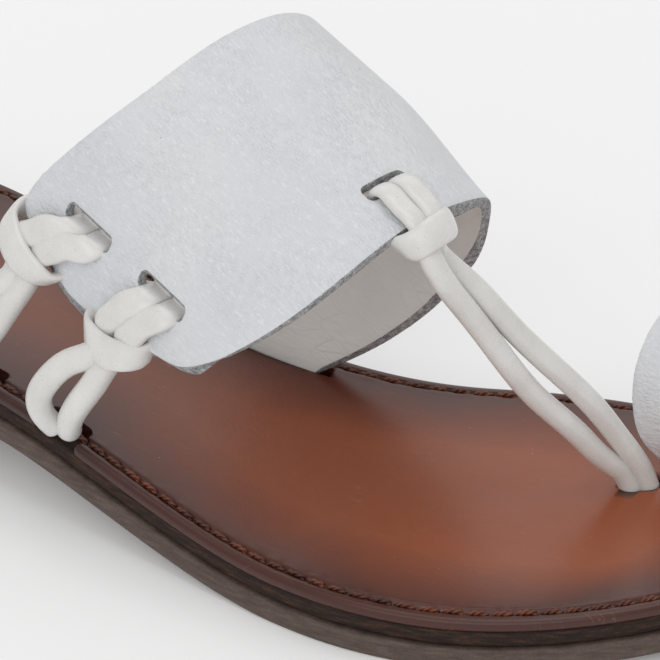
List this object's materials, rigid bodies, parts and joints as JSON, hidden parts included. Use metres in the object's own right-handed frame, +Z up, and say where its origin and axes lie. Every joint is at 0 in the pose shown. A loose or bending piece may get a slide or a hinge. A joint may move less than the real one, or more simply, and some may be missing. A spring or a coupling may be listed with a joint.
{
  "type": "toe-ring slide sandal",
  "caption": "Flat leather slide sandal, right foot: wide instep band tied to the sole with cords, a cord strap to the toe post and a loop for the big toe.",
  "frame": {"origin": "centre of the overall box at its bottom, on the plane that the sole stands on", "axes": "+X along the shoe towards the toe, +Y towards the inner (medial) side of the foot, +Z up"},
  "size_m": [0.25, 0.0909, 0.089],
  "materials": {
    "white_leather": "pebbled, soft gloss",
    "white_cord": "smooth, semi-gloss",
    "brown_leather": "fine pebble, glossy",
    "dark_board": "dull",
    "outsole_leather": "worn, half matt",
    "heel_stack": "dull"
  },
  "bodies": {
    "root": {"outsole": "outsole_leather", "midsole": "dark_board", "heel": "heel_stack", "footbed": "brown_leather", "band": "white_leather", "tie_front": "white_cord", "tie_rear": "white_cord", "toe_strap": "white_cord", "toe_loop": "white_leather"}
  },
  "joints": []
}
